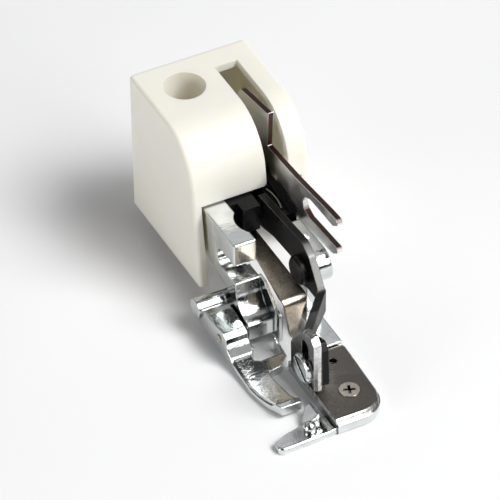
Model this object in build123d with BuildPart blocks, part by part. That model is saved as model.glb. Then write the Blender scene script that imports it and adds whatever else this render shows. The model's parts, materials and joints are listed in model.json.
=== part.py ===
from build123d import *
import os

# Side-cutting presser foot for a low-shank sewing machine, in millimetres.
# Every size below is measured from the housing: x to the operator's right from its left face,
# f forward from its back face, z up from its bottom edge. The datums move that into the frame,
# whose origin is the middle of the screw slot in the shank, with X right, Y back and Z up.
x_datum = 3.4
f_datum = 30.4
z_datum = 9.2


def side(x):
    return Plane(origin=(x - x_datum, f_datum, -z_datum), x_dir=(0, -1, 0), z_dir=(-1, 0, 0))


def plan(z):
    return Plane(origin=(-x_datum, f_datum, z - z_datum), x_dir=(1, 0, 0), z_dir=(0, 0, -1))


def front(f):
    return Plane(origin=(-x_datum, f_datum - f, -z_datum), x_dir=(1, 0, 0), z_dir=(0, -1, 0))


def middle(x0, x1, f0, f1, z0, z1):
    return ((x0 + x1) / 2 - x_datum, f_datum - (f0 + f1) / 2, (z0 + z1) / 2 - z_datum)


# Floor under the foot, and general sizes
floor_z = -3.5
running_gap = 0.05
side_gap = 0.2

# Housing
housing_w = 22.0
housing_h = 27.4
housing_d = 25.8
housing_wall = 1.5
housing_round = 0.7
back_lean = 0.85
mouth_round = 0.7
crown_f = 13.5
crown_r = 9.5
crown_angle = 81.4
mouth_z = 15.6
lever_slot_x0 = 13.9
lever_slot_x1 = 18.2
lever_slot_f0 = 4.0
access_x = 7.1
access_f = 6.2
access_r = 3.65
access_wall = 0.8
access_floor_z = 13.5
access_floor_t = 1.6
right_cut_f = 19.0
right_cut_z = 14.0
cover_screw_r = 1.25
cover_screw_gap = 0.1
cover_screw_l = 6.0
cover_head_r = 2.4
cover_head_t = 1.6
cross_l = 2.8
cross_w = 0.6

# Shank and ankle
shank_x0 = 1.84
shank_x1 = 5.94
screw_slot_r = 1.85
screw_slot_z = z_datum
screw_slot_f = f_datum
shank_rear_f = 11.2
shank_top_z = 15.3
shank_round = 0.3
ankle_f0 = 34.4
ankle_f1 = 40.2
ankle_z = -1.2
ledge_z = 1.9
ankle_x1 = 6.5
rib_x1 = 7.0
bar_groove_r = 4.15
bar_groove_x = 9.0
bar_groove_f = 29.7
sole_axis_f = 38.9
sole_axis_z = 0.25
sole_pin_r = 0.75

# Inner chassis
chassis_x1 = 10.8
cheek_x0 = 13.1
cheek_x1 = 15.6
cheek_f0 = 13.5
cheek_f1 = 31.0
block_under_z = 8.5
bridge_f1 = 17.0
bridge_z = 4.0
bridge_t = 3.2
tongue_gap = 0.1
wire_step_x = 14.3
wire_step_z = 15.0

# Cutter frame with the knife base
tongue_x0 = 14.35
tongue_f0 = 24.1
tongue_z0 = 8.7
tongue_z1 = 13.1
arm_end_r = 3.0
arm_top_z = 14.2
leg_f0 = 36.4
leg_f1 = 39.6
leg_z = floor_z + 0.3
stem_x0 = 11.9
stem_x1 = 15.0
stem_f1 = 48.7
stem_z1 = 0.0
base_top_z = -1.5
base_x0 = 5.4
base_x1 = 15.45
base_taper = 0.5
base_f0 = 47.6
base_f1 = 65.6
base_corner_r = 4.6
base_round = 0.45
finger_top_z = -2.2
finger_tip_x = -5.6
finger_f0 = base_f1 - 3.0
finger_f1 = base_f1 + 0.3
finger_round = 0.35
guide_top_z = -0.9
post_x = 1.1
post_f = base_f1 - 2.1
post_r = 0.6
dome_r = 1.15
dome_lift = 0.5
rivet_small_r = 0.8
rivet_spots = [(cheek_f1 - 5.0, 10.8), (cheek_f1 - 1.8, 10.8)]

# Fixed knife
knife_x0 = 5.2
knife_x1 = 15.25
knife_taper = 0.65
knife_f0 = 48.9
knife_f1 = base_f1 - 0.4
knife_t = 1.0
knife_corner_r = 4.4
knife_hole_x = 11.6
knife_hole_f = 51.9
knife_hole_r = 0.7
plate_screw_x = 10.65
plate_screw_f = base_f1 - 6.1
plate_screw_head_r = 1.8
plate_screw_r = 1.0
plate_screw_l = 2.6
plate_screw_gap = 0.1
plate_head_t = 0.75
plate_head_rise = 0.12
plate_cross_l = 2.0
plate_cross_w = 0.45

# Cutter lever and moving knife
lever_x0 = 11.5
lever_t = 1.3
tail_x0 = 5.1
joggle_f = 46.4
neck_f = 24.2
neck_z = 12.2
rock_f = 41.0
rock_z = 11.6
rock_r = 1.5
rivet_head_r = 2.6
rivet_head_t = 1.5
boss_r = 3.5
blade_t = 1.2
blade_screw_f = 56.4
blade_screw_z = 4.9
blade_screw_r = 0.9
blade_screw_head_r = 2.65
blade_screw_head_t = 0.95
blade_cut_w = 0.75
blade_cut_d = 0.5
blade_slot_run = 4.4
blade_slot_w = 2.4
drive_f = 11.0
drive_z = 13.0
drive_r = 1.1

# Fork lever
fork_x0 = 15.9
fork_t = 1.0
fork_axis_f = 22.0
fork_axis_z = 14.0
fork_pin_r = 1.5
fork_pin_head_r = 2.4
cam_f = 10.74
cam_z = 13.055
cam_run = 0.86
cam_gap = 0.13

# Guard bracket
guard_t = 0.8
guard_x1 = 10.8
guard_x0 = 6.3
guard_f0 = 17.4
guard_fold_f = 44.4
guard_fold_r = 1.4
guard_tip_z = 0.4
guard_screw_r = 0.8
guard_screw_l = 2.6
guard_head_r = 1.4
guard_screw_spots = [(9.3, 19.4), (9.3, 23.0)]

# Sole
sole_x0 = -3.4
sole_x1 = 8.0
sole_wall = 0.7
deck_wall = 0.45
deck_back_z = 2.1
deck_front_z = 1.4
sole_edge_x = -3.1
rear_bar_over = 0.5
toe_gap = 7.7
sole_front_f = base_f1 - toe_gap
sole_open_f = 38.6
sole_ear_f = 40.7
sole_top_z = -1.6
rim_top_z = -1.0
rim_f = sole_front_f - 1.2
toe_dip_f = sole_front_f - 1.7
toe_flat_f = sole_front_f - 4.4
bay_x = 1.5
bay_f0 = 33.1
bay_f1 = 41.8
bay_z = -1.75
sole_under_round = 0.6
rear_bar_f = 31.4
rear_bar_z = 1.35
rear_bar_r = 1.7

# Return spring
spring_wire_r = 0.25
spring_route = [(13.6, cheek_f1 - 7.2), (13.98, cheek_f1 - 4.1), (13.45, cheek_f1 - 1.4)]

os.makedirs("parts", exist_ok=True)

# Housing: a moulded shell with a rounded crown, open below and under the mouth
with BuildSketch() as shell_outline:
    with BuildLine():
        back = Line((0, 0), (-back_lean, housing_h))
        top = Line(back @ 1, (crown_f, housing_h))
        crown = JernArc(start=top @ 1, tangent=(1, 0), radius=crown_r, arc_size=-crown_angle)
        face_line = Line(crown @ 1, (housing_d, 0))
        Line(face_line @ 1, back @ 0)
    make_face()
with BuildSketch() as cavity_outline:
    add(shell_outline.sketch)
    offset(amount=-housing_wall, kind=Kind.INTERSECTION, mode=Mode.REPLACE)

with BuildPart() as housing:
    with BuildSketch(side(housing_w)):
        add(shell_outline.sketch)
    extrude(amount=housing_w)
    outer = housing.edges().group_by(Axis.X)[0] + housing.edges().group_by(Axis.X)[-1]
    rims = outer.filter_by(lambda e: e.center().Z > 0.1 - z_datum)
    back_top = housing.edges().filter_by(Axis.X).group_by(Axis.Z)[-1].sort_by(Axis.Y)[-1:]
    fillet(rims + back_top, radius=housing_round)
    with BuildSketch(side(housing_w - housing_wall)):
        add(cavity_outline.sketch)
    extrude(amount=housing_w - 2 * housing_wall, mode=Mode.SUBTRACT)
    with Locations(middle(housing_wall, housing_w - housing_wall, housing_wall, 21, -2, 6)):
        Box(housing_w - 2 * housing_wall, 21 - housing_wall, 8, mode=Mode.SUBTRACT)
    with Locations(middle(housing_wall, housing_w - housing_wall, 16, 32, -2, mouth_z)):
        Box(housing_w - 2 * housing_wall, 16, mouth_z + 2, mode=Mode.SUBTRACT)
    with Locations(middle(18, 24, right_cut_f, 32, -2, right_cut_z)):
        Box(6, 32 - right_cut_f, right_cut_z + 2, mode=Mode.SUBTRACT)
    with BuildSketch(plan(housing_h - 0.4)):
        with Locations((access_x, access_f)):
            Circle(access_r + access_wall)
    extrude(amount=housing_h - 0.4 - access_floor_z)
    with Locations(middle(lever_slot_x0, lever_slot_x1, lever_slot_f0, 32, mouth_z - 1, 30)):
        Box(lever_slot_x1 - lever_slot_x0, 32 - lever_slot_f0, 31 - mouth_z, mode=Mode.SUBTRACT)
    with BuildSketch(plan(housing_h + 1)):
        with Locations((access_x, access_f)):
            Circle(access_r)
    extrude(amount=housing_h + 1 - access_floor_z - access_floor_t, mode=Mode.SUBTRACT)
    with BuildSketch(plan(housing_h)):
        with Locations((access_x, access_f)):
            Circle(cover_screw_r + cover_screw_gap)
    extrude(amount=housing_h, mode=Mode.SUBTRACT)
    lips = housing.edges().filter_by(Axis.Y)
    lips = lips.filter_by(lambda e: abs(e.center().X - lever_slot_x0 + x_datum) < 0.01)
    lips = lips.filter_by(lambda e: abs(e.center().Z - mouth_z + z_datum) < 0.01)
    fillet(lips, radius=mouth_round)
housing.part.label = "housing"
export_step(housing.part, "parts/housing.step")

# Screw at the bottom of the access hole, holding the housing on the chassis
with BuildPart() as housing_screw:
    with BuildSketch(plan(access_floor_z + access_floor_t + cover_head_t)):
        with Locations((access_x, access_f)):
            Circle(cover_head_r)
    extrude(amount=cover_head_t)
    chamfer(housing_screw.edges().group_by(Axis.Z)[-1], length=0.4)
    with BuildSketch(plan(access_floor_z + access_floor_t)):
        with Locations((access_x, access_f)):
            Circle(cover_screw_r)
    extrude(amount=cover_screw_l)
    with BuildSketch(plan(access_floor_z + access_floor_t + cover_head_t)):
        with Locations((access_x, access_f)):
            Rectangle(cross_l, cross_w)
            Rectangle(cross_w, cross_l)
    extrude(amount=0.9, mode=Mode.SUBTRACT)
housing_screw.part.label = "housing_screw"
export_step(housing_screw.part, "parts/housing_screw.step")

# Shank: upper block, open screw slot, ankle with its curved ledge, rib beside the ankle
with BuildPart() as shank:
    with BuildSketch(side(shank_x1)):
        with BuildLine():
            Polyline(
                (35.5, 5.2), (35.2, 7.4), (34.9, 11.0), (34.75, shank_top_z), (shank_rear_f, shank_top_z),
                (shank_rear_f, 7.0), (24.0, 6.0), (33.2, 4.0), (ankle_f0, 3.0), (ankle_f0, ankle_z),
                (ankle_f1, ankle_z), (ankle_f1, ledge_z),
            )
            ThreePointArc((ankle_f1, ledge_z), (37.0, 2.9), (35.5, 5.2))
        make_face()
    extrude(amount=shank_x1 - shank_x0)
    with BuildSketch(side(ankle_x1)):
        with BuildLine():
            Polyline(
                (35.5, 5.2), (35.2, 7.3), (31.5, 7.3), (31.5, 4.5), (33.2, 4.0), (ankle_f0, 3.0),
                (ankle_f0, ankle_z), (ankle_f1, ankle_z), (ankle_f1, ledge_z),
            )
            ThreePointArc((ankle_f1, ledge_z), (37.0, 2.9), (35.5, 5.2))
        make_face()
    extrude(amount=ankle_x1 - shank_x1)
    with BuildSketch(side(rib_x1)):
        Polygon((34.6, 7.6), (36.0, 8.0), (40.7, 4.2), (40.5, -0.9), (34.6, -0.9), align=None)
    extrude(amount=rib_x1 - ankle_x1)
    with BuildSketch(side(ankle_x1 + 1)):
        with Locations((screw_slot_f, screw_slot_z)):
            Circle(screw_slot_r)
        with Locations((screw_slot_f + 6, screw_slot_z)):
            Rectangle(12, 2 * screw_slot_r)
    extrude(amount=ankle_x1 + 1, mode=Mode.SUBTRACT)
    nose = shank.edges().filter_by(Axis.X).filter_by(lambda e: e.center().Y < f_datum - 34)
    fillet(nose.filter_by(lambda e: e.center().Z > 13 - z_datum), radius=shank_round)
    left_edges = shank.edges().group_by(Axis.X)[0].filter_by(lambda e: e.center().Z > 12 - z_datum)
    fillet(left_edges.filter_by(lambda e: e.center().Y < f_datum - 18), radius=shank_round)
    with BuildSketch(plan(20)):
        with Locations((bar_groove_x, bar_groove_f)):
            Circle(bar_groove_r)
    extrude(amount=20 - 7.4, mode=Mode.SUBTRACT)
    with BuildSketch(side(rib_x1 + 1)):
        with Locations((sole_axis_f, sole_axis_z)):
            Circle(sole_pin_r + running_gap)
    extrude(amount=rib_x1 + 1, mode=Mode.SUBTRACT)
shank.part.label = "shank"
export_step(shank.part, "parts/shank.step")

# Chassis: black block beside the shank, joined under the lever to a cheek that carries the fork
with BuildPart() as chassis:
    with BuildSketch(side(chassis_x1)):
        Polygon(
            (2.5, block_under_z), (2.5, access_floor_z), (10.8, access_floor_z), (11.4, 15.2), (27.0, 15.2),
            (27.0, 10.0), (25.0, 10.0), (25.0, block_under_z), (bridge_f1, block_under_z),
            (bridge_f1, bridge_z), (cheek_f0, bridge_z), (cheek_f0, block_under_z), align=None,
        )
    extrude(amount=chassis_x1 - shank_x1)
    with Locations(middle(shank_x1, 7.5, 24.8, 28, 8, 16)):
        Box(7.5 - shank_x1, 3.2, 8, mode=Mode.SUBTRACT)
    with BuildSketch(side(cheek_x1)):
        Polygon(
            (cheek_f0, bridge_z), (bridge_f1, bridge_z), (bridge_f1, 8.0), (cheek_f1, 8.0), (cheek_f1, 15.3),
            (cheek_f1 - 11.0, 16.7), (cheek_f0 + 1.5, 16.7), (cheek_f0, 15.2), align=None,
        )
    extrude(amount=cheek_x1 - cheek_x0)
    with Locations(middle(chassis_x1, cheek_x0, cheek_f0, bridge_f1, bridge_z, bridge_z + bridge_t)):
        Box(cheek_x0 - chassis_x1, bridge_f1 - cheek_f0, bridge_t)
    with BuildSketch(side(cheek_x1)):
        Polygon(
            (tongue_f0 - tongue_gap, tongue_z0 - tongue_gap), (tongue_f0 - tongue_gap, tongue_z1 + tongue_gap),
            (cheek_f1, tongue_z1 + tongue_gap), (cheek_f1, tongue_z0 - tongue_gap), align=None,
        )
    extrude(amount=cheek_x1 - tongue_x0, mode=Mode.SUBTRACT)
    with Locations(middle(cheek_x0 - 1, wire_step_x, cheek_f0 - 1, cheek_f1 + 2, wire_step_z, 18)):
        Box(wire_step_x - cheek_x0 + 1, cheek_f1 - cheek_f0 + 3, 18 - wire_step_z, mode=Mode.SUBTRACT)
    with BuildSketch(side(cheek_x1)):
        with Locations(*rivet_spots):
            Circle(rivet_small_r)
    extrude(amount=cheek_x1 - cheek_x0, mode=Mode.SUBTRACT)
    with BuildSketch(side(cheek_x1)):
        with Locations((fork_axis_f, fork_axis_z)):
            Circle(fork_pin_r)
    extrude(amount=cheek_x1 - wire_step_x, mode=Mode.SUBTRACT)
    with BuildSketch(plan(access_floor_z)):
        with Locations((access_x, access_f)):
            Circle(cover_screw_r)
    extrude(amount=cover_screw_l - access_floor_t + 0.1, mode=Mode.SUBTRACT)
    with BuildSketch(plan(block_under_z + guard_screw_l + 0.4)):
        with Locations(*guard_screw_spots):
            Circle(guard_screw_r)
    extrude(amount=guard_screw_l + 0.4, mode=Mode.SUBTRACT)
chassis.part.label = "chassis"
export_step(chassis.part, "parts/chassis.step")

# Cutter frame: pivot arm, leg, stem, knife base and guide finger in one casting
with BuildPart() as cutter_frame:
    with BuildSketch(side(cheek_x1)):
        with Locations((rock_f, rock_z)):
            Circle(arm_end_r)
        Polygon(
            (cheek_f1, tongue_z0 - tongue_gap), (cheek_f1, tongue_z1 + tongue_gap),
            (cheek_f1 + 1.2, arm_top_z), (rock_f, rock_z + arm_end_r), (rock_f, rock_z - arm_end_r),
            align=None,
        )
        Polygon((leg_f0, 9.0), (leg_f0, leg_z), (leg_f1, leg_z), (leg_f1, 9.0), align=None)
    extrude(amount=cheek_x1 - cheek_x0)
    with Locations(middle(tongue_x0, cheek_x1, tongue_f0, cheek_f1 + 0.5, tongue_z0, tongue_z1)):
        Box(cheek_x1 - tongue_x0, cheek_f1 + 0.5 - tongue_f0, tongue_z1 - tongue_z0)
    with Locations(middle(stem_x0, stem_x1, leg_f0, stem_f1, leg_z, stem_z1)):
        Box(stem_x1 - stem_x0, stem_f1 - leg_f0, stem_z1 - leg_z)
    with BuildSketch(plan(base_top_z)) as base_outline:
        Polygon(
            (base_x0, base_f0), (base_x1, base_f0), (base_x1 - base_taper, base_f1), (base_x0, base_f1),
            align=None,
        )
        fillet(base_outline.vertices().sort_by(lambda v: -v.X - v.Y)[:1], radius=base_corner_r)
    extrude(amount=base_top_z - floor_z)
    under = cutter_frame.edges().filter_by(lambda e: abs(e.center().Z - floor_z + z_datum) < 0.01)
    under = under.filter_by(lambda e: e.center().X > base_x0 + 1 - x_datum)
    fillet(under.filter_by(lambda e: e.center().Y < f_datum - base_f0 - 1), radius=base_round)
    with BuildSketch(plan(finger_top_z)) as finger_outline:
        Polygon(
            (finger_tip_x, finger_f0 + 1.0), (-3.7, finger_f0), (0.5, finger_f0 - 0.9),
            (base_x0 + 1, finger_f0 - 0.9), (base_x0 + 1, base_f1 - 0.5), (3.0, base_f1), (-4.9, finger_f1),
            (finger_tip_x, finger_f1 - 0.6), align=None,
        )
        fillet(finger_outline.vertices().sort_by(lambda v: v.X)[:2], radius=0.9)
    extrude(amount=finger_top_z - floor_z)
    finger_rim = cutter_frame.edges().filter_by(lambda e: abs(e.center().Z - finger_top_z + z_datum) < 0.01)
    fillet(finger_rim.filter_by(lambda e: e.center().X < 1.8 - x_datum), radius=finger_round)
    with BuildSketch(plan(guide_top_z)):
        Polygon(
            (1.1, base_f1 - 3.4), (1.1, base_f1 - 5.0), (2.6, base_f1 - 6.7), (3.6, base_f1 - 6.7),
            (3.6, base_f1 - 3.4), align=None,
        )
    extrude(amount=guide_top_z - floor_z)
    with BuildSketch(front(base_f1 - 7)):
        Polygon(
            (0.9, guide_top_z + 0.2), (3.3, guide_top_z + 0.2), (3.3, guide_top_z), (1.1, finger_top_z),
            (0.9, finger_top_z), align=None,
        )
    extrude(amount=3.7, mode=Mode.SUBTRACT)
    with BuildSketch(side(cheek_x1)):
        with Locations((rock_f, rock_z)):
            Circle(rock_r + running_gap)
        with Locations(*rivet_spots):
            Circle(rivet_small_r)
    extrude(amount=cheek_x1 - cheek_x0, mode=Mode.SUBTRACT)
    with BuildSketch(plan(base_top_z)):
        with Locations((plate_screw_x, plate_screw_f)):
            Circle(plate_screw_r)
        with Locations((post_x, post_f)):
            Circle(post_r)
        with Locations((knife_hole_x, knife_hole_f)):
            Circle(knife_hole_r)
    extrude(amount=base_top_z - floor_z, mode=Mode.SUBTRACT)
cutter_frame.part.label = "cutter_frame"
export_step(cutter_frame.part, "parts/cutter_frame.step")

# Rivets that join the cutter frame's tongue to the chassis cheek
with BuildPart() as frame_rivets:
    with BuildSketch(side(cheek_x1)):
        with Locations(*rivet_spots):
            Circle(rivet_small_r)
    extrude(amount=cheek_x1 - cheek_x0)
frame_rivets.part.label = "frame_rivets"
export_step(frame_rivets.part, "parts/frame_rivets.step")

# Dome post on the guide finger
with BuildPart() as guide_post:
    with Locations((post_x - x_datum, f_datum - post_f, finger_top_z + dome_lift - z_datum)):
        Sphere(dome_r)
    with Locations((post_x - x_datum, f_datum - post_f, finger_top_z - z_datum)):
        Box(4, 4, 4, align=(Align.CENTER, Align.CENTER, Align.MAX), mode=Mode.SUBTRACT)
    with BuildSketch(plan(finger_top_z)):
        with Locations((post_x, post_f)):
            Circle(post_r)
    extrude(amount=finger_top_z - floor_z - side_gap)
guide_post.part.label = "guide_post"
export_step(guide_post.part, "parts/guide_post.step")

# Fixed knife plate with its countersunk screw
with BuildPart() as lower_knife:
    with BuildSketch(plan(base_top_z + knife_t)) as knife_outline:
        Polygon((knife_x0, knife_f0), (knife_x1 - 0.8, knife_f0), (knife_x1, knife_f0 + 0.8),
                (knife_x1 - knife_taper, knife_f1), (knife_x0, knife_f1), align=None)
        fillet(knife_outline.vertices().sort_by(lambda v: -v.X - v.Y)[:1], radius=knife_corner_r)
    extrude(amount=knife_t)
    with BuildSketch(plan(base_top_z + knife_t)):
        with Locations((knife_hole_x, knife_hole_f)):
            Circle(knife_hole_r)
        with Locations((plate_screw_x, plate_screw_f)):
            Circle(plate_screw_r + plate_screw_gap)
    extrude(amount=knife_t, mode=Mode.SUBTRACT)
    with Locations((plate_screw_x - x_datum, f_datum - plate_screw_f, base_top_z + knife_t - z_datum)):
        Cone(plate_screw_r + plate_screw_gap, plate_screw_head_r + running_gap, plate_head_t + running_gap,
             align=(Align.CENTER, Align.CENTER, Align.MAX), mode=Mode.SUBTRACT)
    front_edge = lower_knife.edges().group_by(Axis.Z)[-1].filter_by(Axis.X).sort_by(Axis.Y)[:1]
    chamfer(front_edge, length=0.25)
lower_knife.part.label = "lower_knife"
export_step(lower_knife.part, "parts/lower_knife.step")

with BuildPart() as lower_knife_screw:
    with Locations((plate_screw_x - x_datum, f_datum - plate_screw_f, base_top_z + knife_t - z_datum)):
        Cone(plate_screw_r, plate_screw_head_r, plate_head_t, align=(Align.CENTER, Align.CENTER, Align.MAX))
    with BuildSketch(plan(base_top_z + knife_t)):
        with Locations((plate_screw_x, plate_screw_f)):
            Circle(plate_screw_r)
    extrude(amount=plate_screw_l)
    with BuildSketch(plan(base_top_z + knife_t + plate_head_rise)):
        with Locations((plate_screw_x, plate_screw_f)):
            Circle(plate_screw_head_r)
    extrude(amount=plate_head_rise)
    with BuildSketch(plan(base_top_z + knife_t + plate_head_rise)):
        with Locations(Location((plate_screw_x, plate_screw_f), 20)):
            Rectangle(plate_cross_l, plate_cross_w)
            Rectangle(plate_cross_w, plate_cross_l)
    extrude(amount=0.6, mode=Mode.SUBTRACT)
lower_knife_screw.part.label = "lower_knife_screw"
export_step(lower_knife_screw.part, "parts/lower_knife_screw.step")

# Guard bracket: strip under the chassis block, bent down in front and narrowed to a tip
with BuildPart() as guard_bracket:
    with BuildSketch(side(guard_x1)):
        with BuildLine() as strip:
            flat = Line((guard_f0, block_under_z), (guard_fold_f - guard_fold_r, block_under_z))
            bend = JernArc(start=flat @ 1, tangent=(1, 0), radius=guard_fold_r, arc_size=-90)
            drop = Line(bend @ 1, (guard_fold_f, guard_tip_z))
            end = Line(drop @ 1, (guard_fold_f - guard_t, guard_tip_z))
            rise = Line(end @ 1, (guard_fold_f - guard_t, block_under_z - guard_fold_r))
            inner = JernArc(start=rise @ 1, tangent=(0, 1), radius=guard_fold_r - guard_t, arc_size=90)
            under = Line(inner @ 1, (guard_f0, block_under_z - guard_t))
            Line(under @ 1, flat @ 0)
        make_face()
    extrude(amount=guard_x1 - guard_x0)
    with BuildSketch(plan(block_under_z + 1)):
        Polygon(
            (guard_x0 - 1, guard_f0 - 1), (guard_x0 + 1.5, guard_f0 - 1), (guard_x0 + 1.5, 31.0),
            (guard_x0, guard_fold_f - guard_fold_r), (guard_x0 - 1, guard_fold_f - guard_fold_r), align=None,
        )
    extrude(amount=guard_t + 2, mode=Mode.SUBTRACT)
    with BuildSketch(front(guard_fold_f - 4)):
        Polygon(
            (guard_x0 - 1, 9.5), (guard_x0 - 1, -1), (7.6, -1), (7.6, guard_tip_z), (guard_x0, 8.3),
            align=None,
        )
        Polygon(
            (guard_x1 + 1, 9.5), (guard_x1 + 1, -1), (8.6, -1), (8.6, guard_tip_z), (guard_x1 - 0.9, 6.0),
            (guard_x1, 8.2), align=None,
        )
    extrude(amount=5, mode=Mode.SUBTRACT)
    with BuildSketch(plan(block_under_z)):
        with Locations(*guard_screw_spots):
            Circle(guard_screw_r + running_gap)
    extrude(amount=guard_t, mode=Mode.SUBTRACT)
guard_bracket.part.label = "guard_bracket"
export_step(guard_bracket.part, "parts/guard_bracket.step")

with BuildPart() as guard_screws:
    with BuildSketch(plan(block_under_z - guard_t)):
        with Locations(*guard_screw_spots):
            Circle(guard_head_r)
    extrude(amount=guard_t)
    with BuildSketch(plan(block_under_z + guard_screw_l)):
        with Locations(*guard_screw_spots):
            Circle(guard_screw_r)
    extrude(amount=guard_screw_l + guard_t)
guard_screws.part.label = "guard_screws"
export_step(guard_screws.part, "parts/guard_screws.step")

# Fork lever: plate in the housing slot, stepped arm and open fork, with the cam slot at its rear
with BuildPart() as fork_lever:
    with BuildSketch(side(fork_x0 + fork_t)) as fork_outline:
        Polygon(
            (9.6, 26.0), (19.4, 27.7), (20.1, 28.2), (19.6, 20.7), (30.0, 21.4), (41.8, 22.9), (44.4, 23.1),
            (45.0, 22.2), (43.2, 20.9), (35.2, 20.6), (33.4, 19.8), (32.5, 18.4), (33.0, 17.0), (35.0, 16.4),
            (44.8, 17.2), (45.0, 16.2), (43.4, 15.0), (30.2, 12.4), (25.0, 10.8), (21.0, 10.2), (12.0, 9.8),
            (8.2, 11.0), (8.2, 23.0), align=None,
        )
        tips = fork_outline.vertices().filter_by(lambda v: v.X > 44.0)
        fillet(tips, radius=0.4)
        rear = fork_outline.vertices().filter_by(lambda v: v.X < 12.5)
        fillet(rear, radius=1.0)
        notch = fork_outline.vertices().filter_by(lambda v: 32 < v.X < 36)
        fillet(notch, radius=0.7)
    extrude(amount=fork_t)
    with BuildSketch(side(fork_x0 + fork_t)):
        with Locations((fork_axis_f, fork_axis_z)):
            Circle(fork_pin_r + running_gap)
        with Locations((cam_f, cam_z)):
            SlotCenterToCenter(cam_run, 2 * (drive_r + cam_gap))
    extrude(amount=fork_t, mode=Mode.SUBTRACT)
fork_lever.part.label = "fork_lever"
export_step(fork_lever.part, "parts/fork_lever.step")

# Pivot pin of the fork, headed on the right, with a spacer against the cheek
with BuildPart() as fork_pin:
    with BuildSketch(side(fork_x0 + fork_t + side_gap)):
        with Locations((fork_axis_f, fork_axis_z)):
            Circle(fork_pin_r)
    extrude(amount=fork_x0 + fork_t + side_gap - wire_step_x)
    with BuildSketch(side(fork_x0 + fork_t + side_gap + 0.7)):
        with Locations((fork_axis_f, fork_axis_z)):
            Circle(fork_pin_head_r)
    extrude(amount=0.7)
fork_pin.part.label = "fork_pin"
export_step(fork_pin.part, "parts/fork_pin.step")

with BuildPart() as fork_spacer:
    with BuildSketch(side(fork_x0 - running_gap)):
        with Locations((fork_axis_f, fork_axis_z)):
            Circle(fork_pin_head_r)
            Circle(fork_pin_r, mode=Mode.SUBTRACT)
    extrude(amount=fork_x0 - running_gap - cheek_x1)
fork_spacer.part.label = "fork_spacer"
export_step(fork_spacer.part, "parts/fork_spacer.step")

# Return spring wire, lying along the step in the top of the cheek; its coil is hidden in the housing
with BuildPart() as return_spring:
    with BuildLine() as wire_line:
        spring_z = wire_step_z + spring_wire_r - z_datum
        ThreePointArc(*[(x - x_datum, f_datum - f, spring_z) for x, f in spring_route])
    with BuildSketch(Plane(origin=wire_line.line @ 0, z_dir=wire_line.line % 0)):
        Circle(spring_wire_r)
    sweep()
return_spring.part.label = "return_spring"
export_step(return_spring.part, "parts/return_spring.step")

# Cutter lever: sheet-metal band seen from above, trimmed to the lever's outline seen from the side
with BuildPart() as cutter_lever:
    with BuildSketch(plan(20)):
        Polygon((lever_x0, 9.0), (lever_x0 + lever_t, 9.0), (lever_x0 + lever_t, joggle_f + 0.55),
                (tail_x0 + lever_t, joggle_f + 6.95), (tail_x0 + lever_t, 61.0), (tail_x0, 61.0),
                (tail_x0, joggle_f + 6.4), (lever_x0, joggle_f), align=None)
    extrude(amount=24)
    with BuildSketch(side(16)) as lever_outline:
        Polygon(
            (9.0, 11.2), (9.0, 14.8), (17.5, 14.6), (20.6, neck_z - 0.3), (neck_f, neck_z),
            (neck_f + 0.7, 15.5), (40.5, 17.0), (43.2, 15.6), (46.5, 11.0), (49.7, 9.7),
            (52.2, 8.4), (56.0, 10.6), (58.8, 11.7), (60.0, 10.5), (60.4, 3.4), (59.8, 2.75), (52.6, 1.6),
            (52.3, 5.8), (48.9, 6.1), (47.1, 6.2), (45.4, 8.6), (rock_f, 8.6),
            (37.3, 11.1), (30.5, 10.6), (26.0, 9.4), (19.0, 9.6), (17.5, 10.8), align=None,
        )
        with Locations((rock_f, rock_z)):
            Circle(boss_r)
        fillet(lever_outline.vertices().filter_by(lambda v: v.X < 9.5), radius=1.6)
        fillet(lever_outline.vertices().filter_by(lambda v: 40 < v.X < 46 and v.Y > 14), radius=1.6)
        fillet(lever_outline.vertices().filter_by(lambda v: 58 < v.X < 59 and v.Y > 10), radius=0.8)
    extrude(amount=14, mode=Mode.INTERSECT)
    with BuildSketch(side(lever_x0 + lever_t)):
        with Locations((rock_f, rock_z)):
            Circle(rock_r)
        with Locations((drive_f, drive_z)):
            Circle(drive_r)
    extrude(amount=lever_t, mode=Mode.SUBTRACT)
    with BuildSketch(side(tail_x0 + lever_t)):
        with Locations((blade_screw_f, blade_screw_z)):
            Circle(blade_screw_r)
    extrude(amount=lever_t, mode=Mode.SUBTRACT)
cutter_lever.part.label = "cutter_lever"
export_step(cutter_lever.part, "parts/cutter_lever.step")

# Rivet on which the cutter lever rocks
with BuildPart() as cutter_rivet:
    with BuildSketch(side(cheek_x1 - 0.1)):
        with Locations((rock_f, rock_z)):
            Circle(rock_r)
    extrude(amount=cheek_x1 - 0.1 - lever_x0)
    with BuildSketch(side(lever_x0)):
        with Locations((rock_f, rock_z)):
            Circle(rivet_head_r)
    extrude(amount=rivet_head_t)
    chamfer(cutter_rivet.edges().group_by(Axis.X)[0], length=0.45)
cutter_rivet.part.label = "cutter_rivet"
export_step(cutter_rivet.part, "parts/cutter_rivet.step")

# Drive pin in the rear of the cutter lever, running in the fork's cam slot
with BuildPart() as drive_pin:
    with BuildSketch(side(fork_x0 + fork_t + 0.1)):
        with Locations((drive_f, drive_z)):
            Circle(drive_r)
    extrude(amount=fork_x0 + fork_t + 0.1 - lever_x0)
drive_pin.part.label = "drive_pin"
export_step(drive_pin.part, "parts/drive_pin.step")

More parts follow.
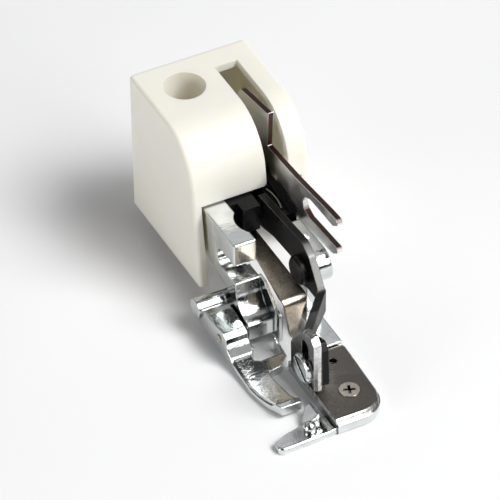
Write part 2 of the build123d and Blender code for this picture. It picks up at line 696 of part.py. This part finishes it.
# Moving knife, slotted for adjustment, with its slotted screw
with BuildPart() as upper_knife:
    with BuildSketch(side(tail_x0)) as blade_outline:
        Polygon(
            (51.0, 1.8), (50.8, 6.8), (53.0, 9.6), (55.4, 12.2), (58.4, 13.2), (59.9, 11.8), (60.2, 2.3),
            (59.5, 2.2), (58.7, 4.0), (57.2, 3.2), (56.4, 0.9), (52.2, 0.9), align=None,
        )
        fillet(blade_outline.vertices().filter_by(lambda v: v.X < 54 and v.Y > 6), radius=1.6)
        fillet(blade_outline.vertices().filter_by(lambda v: 55 < v.X < 59.95 and v.Y > 10), radius=0.9)
    extrude(amount=blade_t)
    with BuildSketch(side(tail_x0)):
        with Locations(Location((blade_screw_f, blade_screw_z + blade_slot_run / 2), 90)):
            SlotCenterToCenter(blade_slot_run, blade_slot_w)
    extrude(amount=blade_t, mode=Mode.SUBTRACT)
    ground = upper_knife.edges().group_by(Axis.X)[0].filter_by(lambda e: e.length > 6)
    chamfer(ground.filter_by(lambda e: e.center().Y < f_datum - 57), length=0.5)
upper_knife.part.label = "upper_knife"
export_step(upper_knife.part, "parts/upper_knife.step")

with BuildPart() as upper_knife_screw:
    with BuildSketch(side(tail_x0 + lever_t)):
        with Locations((blade_screw_f, blade_screw_z)):
            Circle(blade_screw_r)
    extrude(amount=lever_t + blade_t)
    with BuildSketch(side(tail_x0 - blade_t)):
        with Locations((blade_screw_f, blade_screw_z)):
            Circle(blade_screw_head_r)
    extrude(amount=blade_screw_head_t)
    chamfer(upper_knife_screw.edges().group_by(Axis.X)[0], length=0.3)
    with BuildSketch(side(tail_x0 - blade_t - blade_screw_head_t + blade_cut_d)):
        with Locations(Location((blade_screw_f, blade_screw_z), -35)):
            Rectangle(2 * blade_screw_head_r + 1, blade_cut_w)
    extrude(amount=blade_cut_d, mode=Mode.SUBTRACT)
upper_knife_screw.part.label = "upper_knife_screw"
export_step(upper_knife_screw.part, "parts/upper_knife_screw.step")

# Sole: one casting with a rear bar, side walls round the ankle, needle opening, finger and rimmed toe
with BuildPart() as sole:
    with BuildSketch(plan(4)):
        with BuildLine():
            Polyline(
                (-1.2, sole_front_f), (2.5, sole_front_f), (2.5, rim_f), (1.9, rim_f - 1.8), (1.4, 48.6),
                (1.7, 48.0), (3.9, 47.7), (6.0, 46.0), (6.1, 41.9), (5.6, 41.9), (5.6, 45.1), (1.5, 45.2),
                (0.5, 44.7),
                (0.5, 43.5), (1.45, 42.6), (1.45, sole_open_f), (sole_x1 - sole_wall, sole_open_f),
                (sole_x1 - sole_wall, sole_ear_f), (sole_x1, sole_ear_f), (sole_x1, rear_bar_f),
                (sole_x0, rear_bar_f), (sole_edge_x, 42.0), (sole_edge_x, sole_front_f - 7.9),
            )
            ThreePointArc((sole_edge_x, sole_front_f - 7.9), (-2.35, sole_front_f - 3.3), (-1.2, sole_front_f))
        make_face()
    extrude(amount=8)
    with BuildSketch(side(sole_x1 + 1)):
        with BuildLine():
            Polyline(
                (rear_bar_f - 1.5, -1.1), (rear_bar_f - 1.5, 1.2), (32.4, 1.8), (40.2, 2.35), (41.2, 1.65),
                (41.8, -0.4), (43.2, -1.3),
            )
            ThreePointArc(
                (43.2, -1.3), (21.6 + toe_dip_f / 2, sole_top_z - 0.45), (toe_dip_f, sole_top_z + 0.1),
            )
            Polyline(
                (toe_dip_f, sole_top_z + 0.1), (rim_f, rim_top_z), (sole_front_f + 0.2, rim_top_z),
                (sole_front_f + 0.2, -2.7),
            )
            ThreePointArc((sole_front_f + 0.2, -2.7), (toe_dip_f, floor_z + 0.25), (toe_flat_f, floor_z))
            Line((toe_flat_f, floor_z), (toe_flat_f - 8, floor_z))
            ThreePointArc((toe_flat_f - 8, floor_z), (38.6, -3.04), (rear_bar_f - 1.5, -1.1))
        make_face()
    extrude(amount=sole_x1 - sole_x0 + 3, mode=Mode.INTERSECT)
    edge_run = sole.edges().filter_by(lambda e: e.center().X < -x_datum)
    edge_run = edge_run.filter_by(lambda e: abs((e @ 0).Y - (e @ 1).Y) > 0.3)
    fillet(edge_run.filter_by(lambda e: e.center().Z < -1.9 - z_datum), radius=sole_under_round)
    with BuildSketch(side(sole_x1)):
        with Locations((rear_bar_f, rear_bar_z)):
            Circle(rear_bar_r)
    extrude(amount=sole_x1 - sole_x0 + rear_bar_over)
    with BuildSketch(side(bay_x)):
        Polygon(
            (bay_f0, 4.0), (bay_f0, deck_back_z), (39.5, deck_front_z), (40.4, deck_front_z - 0.6), (40.6, -0.2),
            (41.4, -0.6), (43.6, -1.4), (43.6, 4.0), align=None,
        )
    extrude(amount=bay_x - sole_x0 - deck_wall, mode=Mode.SUBTRACT)
    with Locations(middle(bay_x, sole_x1 - sole_wall, ankle_f0 - 0.5, bay_f1, bay_z, 4)):
        Box(sole_x1 - sole_wall - bay_x, bay_f1 - ankle_f0 + 0.5, 4 - bay_z, mode=Mode.SUBTRACT)
    with BuildSketch(side(sole_x1 + 1)):
        with Locations((sole_axis_f, sole_axis_z)):
            Circle(sole_pin_r)
    extrude(amount=sole_x1 - sole_x0 + 2, mode=Mode.SUBTRACT)
sole.part.label = "sole"
export_step(sole.part, "parts/sole.step")

with BuildPart() as sole_pin:
    with BuildSketch(side(sole_x1 - 0.05)):
        with Locations((sole_axis_f, sole_axis_z)):
            Circle(sole_pin_r)
    extrude(amount=sole_x1 - sole_x0 - 0.1)
sole_pin.part.label = "sole_pin"
export_step(sole_pin.part, "parts/sole_pin.step")
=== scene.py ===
import json
import math
import bpy
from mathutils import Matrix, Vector

# Side-cutting presser foot: finishes on its pieces, floor, lamps and room
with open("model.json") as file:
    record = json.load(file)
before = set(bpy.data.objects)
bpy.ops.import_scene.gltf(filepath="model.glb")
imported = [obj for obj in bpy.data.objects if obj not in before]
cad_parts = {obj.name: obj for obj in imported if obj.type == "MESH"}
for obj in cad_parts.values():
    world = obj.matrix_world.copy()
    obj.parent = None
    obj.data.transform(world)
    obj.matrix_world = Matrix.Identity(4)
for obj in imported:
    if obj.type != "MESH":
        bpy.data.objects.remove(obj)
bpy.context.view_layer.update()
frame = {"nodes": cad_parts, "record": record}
pieces = frame["nodes"]
print("frame loaded:", len(pieces), "pieces of the foot")

scene = bpy.context.scene
scene.view_settings.view_transform = "Standard"

# Camera: long lens, a little to the left of the foot and well above it
shot = {"azimuth": -27.297, "elevation": 40.818, "place": (-0.30796, -0.60389, 0.58702), "lens": 384.0,
        "sensor": 36.0, "nearClip": 0.02, "farClip": 30.0}


def placeCamera():
    turn = math.radians(shot["azimuth"])
    rise = math.radians(shot["elevation"])
    lookBack = Vector((math.sin(turn) * math.cos(rise), -math.cos(turn) * math.cos(rise), math.sin(rise)))
    lensData = bpy.data.cameras.new("benchCamera")
    lensData.sensor_width = shot["sensor"]
    lensData.lens = shot["lens"]
    lensData.clip_start = shot["nearClip"]
    lensData.clip_end = shot["farClip"]
    camera = bpy.data.objects.new("benchCamera", lensData)
    scene.collection.objects.link(camera)
    camera.location = shot["place"]
    camera.rotation_euler = lookBack.to_track_quat("Z", "Y").to_euler()
    scene.camera = camera


placeCamera()
print("camera placed")


# Node helpers
def newNode(tree, kind, place, **settings):
    node = tree.nodes.new(kind)
    node.location = place
    for key, value in settings.items():
        setattr(node, key, value)
    return node


def wire(tree, out, into):
    tree.links.new(out, into)


def setValues(node, values):
    for label, value in values.items():
        node.inputs[label].default_value = value


# Mask that grows from 0 to 1 between two ends, which may also run downward
def ramp(tree, value, ends, place, **settings):
    node = newNode(tree, "ShaderNodeMapRange", place, **settings)
    setValues(node, {"From Min": ends[0], "From Max": ends[1]})
    wire(tree, value, node.inputs["Value"])
    return node.outputs["Result"]


# Value that follows a mask from one end to the other
def spread(tree, mask, ends, place):
    node = newNode(tree, "ShaderNodeMapRange", place)
    setValues(node, {"To Min": ends[0], "To Max": ends[1]})
    wire(tree, mask, node.inputs["Value"])
    return node.outputs["Result"]


def combine(tree, operation, first, second, place, **settings):
    node = newNode(tree, "ShaderNodeMath", place, operation=operation, **settings)
    wire(tree, first, node.inputs[0])
    wire(tree, second, node.inputs[1])
    return node.outputs[0]


def splitAxes(tree, vector, place):
    node = newNode(tree, "ShaderNodeSeparateXYZ", place)
    wire(tree, vector, node.inputs["Vector"])
    return node.outputs


def noise(tree, vector, scale, detail, place):
    node = newNode(tree, "ShaderNodeTexNoise", place)
    node.inputs["Detail"].default_value = detail
    wire(tree, vector, node.inputs["Vector"])
    wire(tree, scale, node.inputs["Scale"])
    return node


def valueMix(tree, first, second, place):
    mix = newNode(tree, "ShaderNodeMix", place, data_type="FLOAT")
    wire(tree, first, mix.inputs["A"])
    wire(tree, second, mix.inputs["B"])
    return mix


# Mix of two colours, each a plain tone or what another node puts out
def colourMix(tree, mask, first, second, place):
    mix = newNode(tree, "ShaderNodeMix", place, data_type="RGBA")
    wire(tree, mask, mix.inputs["Factor"])
    for label, source in (("A", first), ("B", second)):
        if isinstance(source, tuple):
            mix.inputs[label].default_value = (*source, 1.0)
        else:
            wire(tree, source, mix.inputs[label])
    return mix.outputs["Result"]


def startGroup(name, inputs, outputs):
    group = bpy.data.node_groups.new(name, "ShaderNodeTree")
    for label, kind, start in inputs:
        socket = group.interface.new_socket(name=label, in_out="INPUT", socket_type=kind)
        if start is not None:
            socket.default_value = start
    for label, kind in outputs:
        group.interface.new_socket(name=label, in_out="OUTPUT", socket_type=kind)
    gateIn = newNode(group, "NodeGroupInput", (-900, 0))
    gateOut = newNode(group, "NodeGroupOutput", (700, 0))
    return group, gateIn.outputs, gateOut.inputs


def useGroup(tree, group, place, values, spot=None):
    node = newNode(tree, "ShaderNodeGroup", place)
    node.node_tree = group
    setValues(node, values)
    if spot is not None:
        wire(tree, spot, node.inputs["Vector"])
    return node.outputs


# Rounded look of machined edges, a mask that is strong along them, and a mask of the shaded inner corners,
# where the metal finishes paint shade and the ivory a paler glow
edgeLook = {"radius": 0.00012, "width": 6.0, "reach": 0.0009, "shadedCorners": (0.85, 0.45),
            "bevelSamples": 6, "shadeSamples": 8}


def makeEdgeGroup():
    group, given, result = startGroup(
        "edgeRounding",
        [("Radius", "NodeSocketFloat", edgeLook["radius"]), ("Width", "NodeSocketFloat", edgeLook["width"]),
         ("Reach", "NodeSocketFloat", edgeLook["reach"])],
        [("Normal", "NodeSocketVector"), ("Wear", "NodeSocketFloat"), ("ShadedCorners", "NodeSocketFloat")])
    bevel = newNode(group, "ShaderNodeBevel", (-600, 100), samples=edgeLook["bevelSamples"])
    wire(group, given["Radius"], bevel.inputs["Radius"])
    wire(group, bevel.outputs["Normal"], result["Normal"])
    geo = newNode(group, "ShaderNodeNewGeometry", (-600, -150))
    dot = newNode(group, "ShaderNodeVectorMath", (-300, 0), operation="DOT_PRODUCT")
    wire(group, bevel.outputs["Normal"], dot.inputs[0])
    wire(group, geo.outputs["Normal"], dot.inputs[1])
    turned = newNode(group, "ShaderNodeMath", (-100, 0), operation="SUBTRACT", use_clamp=True)
    turned.inputs[0].default_value = 1.0
    wire(group, dot.outputs["Value"], turned.inputs[1])
    wear = combine(group, "MULTIPLY", turned.outputs[0], given["Width"], (100, 0), use_clamp=True)
    wire(group, wear, result["Wear"])
    # Ambient occlusion marks the shaded inner corners that the finishes paint
    shade = newNode(group, "ShaderNodeAmbientOcclusion", (-600, -400), only_local=True,
                    samples=edgeLook["shadeSamples"])
    wire(group, given["Reach"], shade.inputs["Distance"])
    wire(group, ramp(group, shade.outputs["AO"], edgeLook["shadedCorners"], (-300, -400)), result["ShadedCorners"])
    return group


# Fine pits and waves of a plated casting or a moulded skin
grainLook = {"pits": 4000.0, "waves": 500.0, "mix": 0.5, "pitDetail": 3.0, "waveDetail": 4.0}


def makeGrainGroup():
    group, given, result = startGroup(
        "surfaceGrain",
        [("Vector", "NodeSocketVector", None), ("Pits", "NodeSocketFloat", grainLook["pits"]),
         ("Waves", "NodeSocketFloat", grainLook["waves"]), ("Mix", "NodeSocketFloat", grainLook["mix"])],
        [("Height", "NodeSocketFloat"), ("Mottle", "NodeSocketFloat")])
    pits = noise(group, given["Vector"], given["Pits"], grainLook["pitDetail"], (-600, 150))
    waves = noise(group, given["Vector"], given["Waves"], grainLook["waveDetail"], (-600, -150))
    both = valueMix(group, pits.outputs["Fac"], waves.outputs["Fac"], (-250, 0))
    wire(group, given["Mix"], both.inputs["Factor"])
    wire(group, both.outputs["Result"], result["Height"])
    wire(group, waves.outputs["Fac"], result["Mottle"])
    return group


# Fine and coarse grinding or drawing lines, stretched by a Mapping node in the material
lineLook = {"fine": 9000.0, "coarseShare": 0.18, "coarseMix": 0.4, "fineDetail": 2.0, "coarseDetail": 1.0}


def makeLinesGroup():
    group, given, result = startGroup(
        "grindLines",
        [("Vector", "NodeSocketVector", None), ("Fine", "NodeSocketFloat", lineLook["fine"])],
        [("Streak", "NodeSocketFloat")])
    fine = noise(group, given["Vector"], given["Fine"], lineLook["fineDetail"], (-600, 150))
    coarseScale = newNode(group, "ShaderNodeMath", (-750, -150), operation="MULTIPLY")
    coarseScale.inputs[1].default_value = lineLook["coarseShare"]
    wire(group, given["Fine"], coarseScale.inputs[0])
    coarse = noise(group, given["Vector"], coarseScale.outputs[0], lineLook["coarseDetail"], (-500, -150))
    both = valueMix(group, fine.outputs["Fac"], coarse.outputs["Fac"], (-200, 0))
    both.inputs["Factor"].default_value = lineLook["coarseMix"]
    wire(group, both.outputs["Result"], result["Streak"])
    return group


# Faint finger marks, large and soft
smudgeLook = {"size": 160.0, "detail": 5.0, "warp": 0.6, "range": (0.42, 0.68)}


def makeHandlingGroup():
    group, given, result = startGroup(
        "handlingMarks",
        [("Vector", "NodeSocketVector", None), ("Size", "NodeSocketFloat", smudgeLook["size"])],
        [("Smudge", "NodeSocketFloat")])
    smudge = noise(group, given["Vector"], given["Size"], smudgeLook["detail"], (-600, 150))
    smudge.inputs["Distortion"].default_value = smudgeLook["warp"]
    wire(group, ramp(group, smudge.outputs["Fac"], smudgeLook["range"], (-300, 150)), result["Smudge"])
    return group


edgeRounding = makeEdgeGroup()
surfaceGrain = makeGrainGroup()
grindLines = makeLinesGroup()
handlingMarks = makeHandlingGroup()
print("shared surface groups made")


def startMaterial(name):
    material = bpy.data.materials.new(name)
    material.use_nodes = True
    tree = material.node_tree
    tree.nodes.clear()
    out = newNode(tree, "ShaderNodeOutputMaterial", (900, 0))
    shader = newNode(tree, "ShaderNodeBsdfPrincipled", (600, 0))
    wire(tree, shader.outputs["BSDF"], out.inputs["Surface"])
    coord = newNode(tree, "ShaderNodeTexCoord", (-1100, 0))
    return material, tree, shader, coord.outputs["Object"]


# Edge rounding, grain and finger marks with the values of one finish
def placeGroups(tree, look, spot):
    edge = useGroup(tree, edgeRounding, (-600, 300), look["edge"])
    grain = useGroup(tree, surfaceGrain, (-600, 0), look["grain"], spot)
    marks = useGroup(tree, handlingMarks, (-600, -300), look["marks"], spot)
    return edge, grain, marks


# Lines on a surface, longest along the axis with the smallest scale
def drawLines(tree, scale, fine, spot, place):
    mapping = newNode(tree, "ShaderNodeMapping", (place[0] - 300, place[1]))
    mapping.inputs["Scale"].default_value = scale
    wire(tree, spot, mapping.inputs["Vector"])
    return useGroup(tree, grindLines, place, {"Fine": fine}, mapping.outputs["Vector"])["Streak"]


# Mask of the faces that are turned away from one axis
def turnedFrom(tree, axis, ends, place):
    geo = newNode(tree, "ShaderNodeNewGeometry", (place[0] - 500, place[1]))
    parts = splitAxes(tree, geo.outputs["Normal"], (place[0] - 300, place[1]))
    amount = newNode(tree, "ShaderNodeMath", (place[0] - 150, place[1]), operation="ABSOLUTE")
    wire(tree, parts[axis], amount.inputs[0])
    return ramp(tree, amount.outputs[0], ends, place)


# What every finish ends with: colour, smudged roughness, bumped normal and its plain values
def finishSurface(tree, shader, look, colour, smudge, height, normal):
    wire(tree, colour, shader.inputs["Base Color"])
    wire(tree, spread(tree, smudge, look["rough"], (-200, -250)), shader.inputs["Roughness"])
    bump = newNode(tree, "ShaderNodeBump", (200, -400))
    setValues(bump, look["bump"])
    wire(tree, height, bump.inputs["Height"])
    wire(tree, normal, bump.inputs["Normal"])
    wire(tree, bump.outputs["Normal"], shader.inputs["Normal"])
    setValues(shader, look["plain"])


# Ivory moulded skin: satin, very fine texture, a little light passes into it; its inner corners and hollows
# get a painted glow, paler and warmer
ivory = {"deep": (0.905, 0.865, 0.755), "light": (0.935, 0.90, 0.805), "hollowGlow": (0.98, 0.92, 0.74),
         "edge": {"Radius": 0.00018, "Width": 4.0, "Reach": 0.005},
         "grain": {"Pits": 7000.0, "Waves": 220.0, "Mix": 0.35}, "marks": {"Size": 120.0},
         "rough": (0.34, 0.46), "bump": {"Strength": 0.06, "Distance": 0.00002},
         "plain": {"Subsurface Weight": 0.30, "Subsurface Radius": (1.0, 0.74, 0.40),
                   "Subsurface Scale": 0.0030}}


def makeIvory():
    material, tree, shader, spot = startMaterial("ivoryMoulding")
    edge, grain, marks = placeGroups(tree, ivory, spot)
    skin = colourMix(tree, grain["Mottle"], ivory["deep"], ivory["light"], (-200, 0))
    # Painted glow: the shaded inner corners and hollows are turned a paler, warmer cream
    skin = colourMix(tree, edge["ShadedCorners"], skin, ivory["hollowGlow"], (100, 0))
    finishSurface(tree, shader, ivory, skin, marks["Smudge"], grain["Height"], edge["Normal"])
    return material


# Bright plate over a casting: clear reflections, broken by fine waves, and painted shade darkening its inner
# corners
chrome = {"clean": (0.725, 0.745, 0.74), "dull": (0.63, 0.65, 0.645), "cornerShade": (0.07, 0.075, 0.075),
          "edge": {"Radius": 0.00040, "Width": 5.0, "Reach": 0.0024},
          "grain": {"Pits": 3000.0, "Waves": 420.0, "Mix": 0.78}, "marks": {"Size": 260.0},
          "rough": (0.05, 0.12), "bump": {"Strength": 1.0, "Distance": 0.00009}, "plain": {"Metallic": 1.0}}


def makeChrome():
    material, tree, shader, spot = startMaterial("platedCasting")
    edge, grain, marks = placeGroups(tree, chrome, spot)
    plate = colourMix(tree, marks["Smudge"], chrome["clean"], chrome["dull"], (-200, 0))
    # Painted shade: the inner corners are darkened to a near-black tone
    plate = colourMix(tree, edge["ShadedCorners"], plate, chrome["cornerShade"], (100, 0))
    finishSurface(tree, shader, chrome, plate, marks["Smudge"], grain["Height"], edge["Normal"])
    return material


# Stamped plate: bright faces and tine ends, darker sheared edges on top and at the step behind the tines
fork = {"face": (0.88, 0.87, 0.85), "sheared": (0.075, 0.043, 0.034), "border": (0.92, 0.91, 0.89),
        "topFacing": (0.35, 0.65), "narrow": (0.6, 0.3), "stepStart": (0.003, 0.005),
        "edge": {"Radius": 0.00020, "Width": 7.0},
        "grain": {"Pits": 6000.0, "Waves": 600.0, "Mix": 0.4}, "marks": {"Size": 300.0},
        "rough": (0.32, 0.44), "bump": {"Strength": 0.08, "Distance": 0.00002}, "plain": {"Metallic": 1.0}}


def makeForkPlate():
    material, tree, shader, spot = startMaterial("stampedPlate")
    edge, grain, marks = placeGroups(tree, fork, spot)
    geo = newNode(tree, "ShaderNodeNewGeometry", (-1100, 550))
    facing = splitAxes(tree, geo.outputs["Normal"], (-900, 550))
    top = ramp(tree, facing["Z"], fork["topFacing"], (-450, 550))
    narrow = turnedFrom(tree, "X", fork["narrow"], (-600, 750))
    behind = ramp(tree, splitAxes(tree, spot, (-900, 950))["Y"], fork["stepStart"], (-600, 950))
    step = combine(tree, "MULTIPLY", narrow, behind, (-450, 850))
    sheared = combine(tree, "MAXIMUM", top, step, (-350, 700))
    plate = colourMix(tree, sheared, fork["face"], fork["sheared"], (-250, 0))
    plate = colourMix(tree, edge["Wear"], plate, fork["border"], (100, 0))
    finishSurface(tree, shader, fork, plate, marks["Smudge"], grain["Height"], edge["Normal"])
    return material


# Chemical black on steel, rubbed lighter along its edges
black = {"skin": (0.008, 0.008, 0.0085), "greyed": (0.34, 0.33, 0.32), "unworn": (0.03, 0.03, 0.03),
         "edge": {"Radius": 0.00022, "Width": 3.0},
         "grain": {"Pits": 6500.0, "Waves": 420.0, "Mix": 0.3}, "marks": {"Size": 200.0},
         "rough": (0.24, 0.38), "bump": {"Strength": 0.15, "Distance": 0.00003},
         "plain": {"Metallic": 0.2, "Specular IOR Level": 0.13}}

# Narrow faces of the rocking lever, lighter grey along a stretch toward its front
leverGrey = {"tone": (0.30, 0.298, 0.292), "narrow": (0.80, 0.55), "from": (-0.0095, -0.0135),
            "until": (-0.0166, -0.0158)}


def greyTowardFront(tree, spot, skin):
    narrow = turnedFrom(tree, "X", leverGrey["narrow"], (-600, 500))
    along = splitAxes(tree, spot, (-900, 700))["Y"]
    begun = ramp(tree, along, leverGrey["from"], (-600, 700))
    lasting = ramp(tree, along, leverGrey["until"], (-600, 900))
    stretch = combine(tree, "MULTIPLY", begun, lasting, (-500, 750))
    greyed = combine(tree, "MULTIPLY", narrow, stretch, (-400, 600))
    return colourMix(tree, greyed, skin, leverGrey["tone"], (100, 300))


def makeBlack(name, edgeTone, greyFront):
    material, tree, shader, spot = startMaterial(name)
    edge, grain, marks = placeGroups(tree, black, spot)
    rub = combine(tree, "MULTIPLY", edge["Wear"], grain["Mottle"], (-350, 200), use_clamp=True)
    skin = colourMix(tree, rub, black["skin"], edgeTone, (-150, 100))
    if greyFront:
        skin = greyTowardFront(tree, spot, skin)
    finishSurface(tree, shader, black, skin, marks["Smudge"], grain["Height"], edge["Normal"])
    return material


# Turned or drawn steel: fine streaks, each piece with its own tint, and painted shade darkening its inner
# corners
linedSteel = {"cornerShade": (0.06, 0.055, 0.05), "contrast": (0.36, 0.64),
              "edge": {"Radius": 0.00012, "Width": 5.0}, "marks": {"Size": 240.0}, "plain": {"Metallic": 1.0}}
turnedNickel = {**linedSteel, "tint": (0.66, 0.60, 0.52), "shade": (0.54, 0.49, 0.42), "rough": (0.22, 0.32),
                "scale": (1.0, 1.0, 1.0), "fine": 6000.0, "bump": {"Strength": 0.10, "Distance": 0.00002}}
drawnStrip = {**linedSteel, "tint": (0.74, 0.66, 0.55), "shade": (0.44, 0.385, 0.31), "rough": (0.30, 0.46),
              "scale": (1.0, 0.40, 0.40), "fine": 3400.0, "bump": {"Strength": 0.16, "Distance": 0.00002}}
springWire = {**linedSteel, "tint": (0.17, 0.165, 0.16), "shade": (0.12, 0.115, 0.11), "rough": (0.22, 0.30),
              "scale": (1.0, 0.1, 1.0), "fine": 6000.0, "bump": {"Strength": 0.08, "Distance": 0.00002}}


def makeLined(name, look):
    material, tree, shader, spot = startMaterial(name)
    edge = useGroup(tree, edgeRounding, (-600, 300), look["edge"])
    marks = useGroup(tree, handlingMarks, (-600, -300), look["marks"], spot)
    lines = drawLines(tree, look["scale"], look["fine"], spot, (-600, 0))
    streak = ramp(tree, lines, look["contrast"], (-400, 100))
    metal = colourMix(tree, streak, look["shade"], look["tint"], (-200, 100))
    # Painted shade: the inner corners are darkened to a near-black tone
    metal = colourMix(tree, edge["ShadedCorners"], metal, look["cornerShade"], (100, 100))
    finishSurface(tree, shader, look, metal, marks["Smudge"], lines, edge["Normal"])
    return material


# Knives: dark face across one axis, bright ground sides with marks of the wheel
groundSteel = {"sides": (0.95, 0.85), "hatch": (0.40, 0.58), "faceFine": 7000.0, "wheelFine": 3200.0,
               "edge": {"Radius": 0.00012, "Width": 5.0}, "marks": {"Size": 240.0},
               "bump": {"Strength": 0.12, "Distance": 0.00002}, "plain": {"Metallic": 1.0}}
knifePlate = {**groundSteel, "face": (0.21, 0.19, 0.172), "shade": (0.155, 0.14, 0.126),
              "ground": (0.66, 0.65, 0.63), "dark": (0.28, 0.27, 0.26), "rough": (0.24, 0.34),
              "axis": "Z", "faceScale": (0.05, 1.0, 1.0), "wheelScale": (1.0, 0.6, 0.05)}
# The blade's dark flat faces are a painted dark reflection
blade = {**groundSteel, "face": (0.20, 0.195, 0.19), "shade": (0.13, 0.127, 0.125),
         "ground": (0.80, 0.79, 0.78), "dark": (0.52, 0.51, 0.50), "rough": (0.20, 0.30),
         "axis": "X", "faceScale": (1.0, 1.0, 0.06), "wheelScale": (1.0, 0.05, 0.6)}


def makeGroundPlate(name, look):
    material, tree, shader, spot = startMaterial(name)
    edge = useGroup(tree, edgeRounding, (-600, 300), look["edge"])
    marks = useGroup(tree, handlingMarks, (-600, -300), look["marks"], spot)
    wheel = drawLines(tree, look["wheelScale"], look["wheelFine"], spot, (-600, 100))
    lines = drawLines(tree, look["faceScale"], look["faceFine"], spot, (-600, -100))
    face = colourMix(tree, lines, look["shade"], look["face"], (-200, 0))
    hatch = ramp(tree, wheel, look["hatch"], (-400, 200))
    rim = colourMix(tree, hatch, look["dark"], look["ground"], (-200, 200))
    sides = turnedFrom(tree, look["axis"], look["sides"], (-450, 450))
    steel = colourMix(tree, sides, face, rim, (100, 100))
    finishSurface(tree, shader, look, steel, marks["Smudge"], lines, edge["Normal"])
    return material


finishes = {
    "ivory_plastic": makeIvory(),
    "chrome": makeChrome(),
    "black_oxide": makeBlack("blackedSteel", black["greyed"], False),
    "nickel_screw": makeLined("turnedNickel", turnedNickel),
    "satin_nickel": makeLined("drawnStrip", drawnStrip),
    "knife_steel": makeGroundPlate("groundPlate", knifePlate),
    "blade_steel": makeGroundPlate("groundBlade", blade),
    "spring_steel": makeLined("springWire", springWire),
}
ownFinish = {
    "fork_lever": makeForkPlate(),
    "cutter_lever": makeBlack("leverSteel", black["greyed"], True),
    "chassis": makeBlack("innerBlack", black["unworn"], False),
}
for row in frame["record"]["subparts"]:
    finish = ownFinish.get(row["node"], finishes[row["material_slot"]])
    piece = pieces[row["node"]]
    piece.data.materials.clear()
    piece.data.materials.append(finish)
print("finishes set on every piece")

# Floor: pale sheet on which the sole and the knife base stand
sheet = {"height": -0.0127, "size": 8.0, "tone": (0.925, 0.925, 0.93), "paler": 1.02,
         "grain": {"Pits": 900.0, "Waves": 30.0, "Mix": 0.5},
         "plain": {"Roughness": 0.7, "Specular IOR Level": 0.2}}


def layFloor():
    bpy.ops.object.select_all(action="DESELECT")
    bpy.ops.mesh.primitive_plane_add(size=sheet["size"], location=(0, 0, sheet["height"]))
    floor = bpy.context.active_object
    floor.name = "benchSheet"
    material, tree, shader, spot = startMaterial("benchPaper")
    grain = useGroup(tree, surfaceGrain, (-600, 0), sheet["grain"], spot)
    pale = tuple(part * sheet["paler"] for part in sheet["tone"])
    wire(tree, colourMix(tree, grain["Mottle"], sheet["tone"], pale, (-200, 0)), shader.inputs["Base Color"])
    setValues(shader, sheet["plain"])
    floor.data.materials.append(material)


layFloor()
print("floor laid")

# Lamps: a wide one at the front right, softer ones in front and low at the left
lamps = {
    "mainLamp": {"place": (0.42, -0.40, 0.80), "size": 0.50, "watts": 8.7},
    "frontLamp": {"place": (0.30, -0.80, 0.50), "size": 0.42, "watts": 1.6},
    "leftLamp": {"place": (-0.85, -0.22, 0.16), "size": 0.40, "watts": 2.4},
}


def hangLamps():
    for name, lamp in lamps.items():
        data = bpy.data.lights.new(name, "AREA")
        data.size = lamp["size"]
        data.energy = lamp["watts"]
        item = bpy.data.objects.new(name, data)
        scene.collection.objects.link(item)
        item.location = lamp["place"]
        item.rotation_euler = Vector(lamp["place"]).to_track_quat("Z", "Y").to_euler()


# Room: pale at the back, greyer in front, with a dark strip high up toward the back, a dark skirt
# low down and a dark patch behind the camera
room = {"back": (0.64, 0.64, 0.65),
        "front": (0.46, 0.46, 0.465), "frontDirection": (0.30, -0.85, 0.42), "frontEdge": (0.0, 0.40),
        "strip": (0.06, 0.06, 0.062), "stripNear": (0.18, 0.28), "stripFar": (0.62, 0.54),
        "skirt": (0.03, 0.03, 0.032), "skirtEdge": (0.38, 0.26),
        "patch": (0.03, 0.03, 0.032), "patchDirection": (-0.34, -0.70, 0.62), "patchEdge": (0.70, 0.86),
        "fill": (0.80, 1.0)}


# Mask of the part of the room that lies toward one direction
def toward(tree, view, direction, ends, place):
    facing = newNode(tree, "ShaderNodeVectorMath", place, operation="DOT_PRODUCT")
    wire(tree, view, facing.inputs[0])
    facing.inputs[1].default_value = Vector(direction).normalized()
    beside = (place[0] + 200, place[1])
    return ramp(tree, facing.outputs["Value"], ends, beside, interpolation_type="SMOOTHSTEP")


def paintRoom():
    world = bpy.data.worlds.new("greyStudio")
    scene.world = world
    world.use_nodes = True
    tree = world.node_tree
    tree.nodes.clear()
    out = newNode(tree, "ShaderNodeOutputWorld", (600, 0))
    walls = newNode(tree, "ShaderNodeBackground", (400, 0))
    wire(tree, walls.outputs["Background"], out.inputs["Surface"])
    view = newNode(tree, "ShaderNodeTexCoord", (-800, 0)).outputs["Generated"]
    axes = splitAxes(tree, view, (-600, 0))
    front = toward(tree, view, room["frontDirection"], room["frontEdge"], (-600, -250))
    near = ramp(tree, axes["Y"], room["stripNear"], (-200, -700), interpolation_type="SMOOTHSTEP")
    far = ramp(tree, axes["Y"], room["stripFar"], (-200, -900), interpolation_type="SMOOTHSTEP")
    strip = combine(tree, "MULTIPLY", near, far, (0, -800))
    skirt = ramp(tree, axes["Z"], room["skirtEdge"], (-200, 0), interpolation_type="SMOOTHSTEP")
    patch = toward(tree, view, room["patchDirection"], room["patchEdge"], (-600, -500))
    tone = colourMix(tree, front, room["back"], room["front"], (-200, -250))
    tone = colourMix(tree, strip, tone, room["strip"], (0, -250))
    tone = colourMix(tree, skirt, tone, room["skirt"], (100, 0))
    tone = colourMix(tree, patch, tone, room["patch"], (250, 0))
    wire(tree, tone, walls.inputs["Color"])
    # Bright metal shows the room as it is, and the room fills the shadows less
    ray = newNode(tree, "ShaderNodeLightPath", (0, 300))
    wire(tree, spread(tree, ray.outputs["Is Glossy Ray"], room["fill"], (200, 300)), walls.inputs["Strength"])


hangLamps()
paintRoom()
print("lamps and room set")
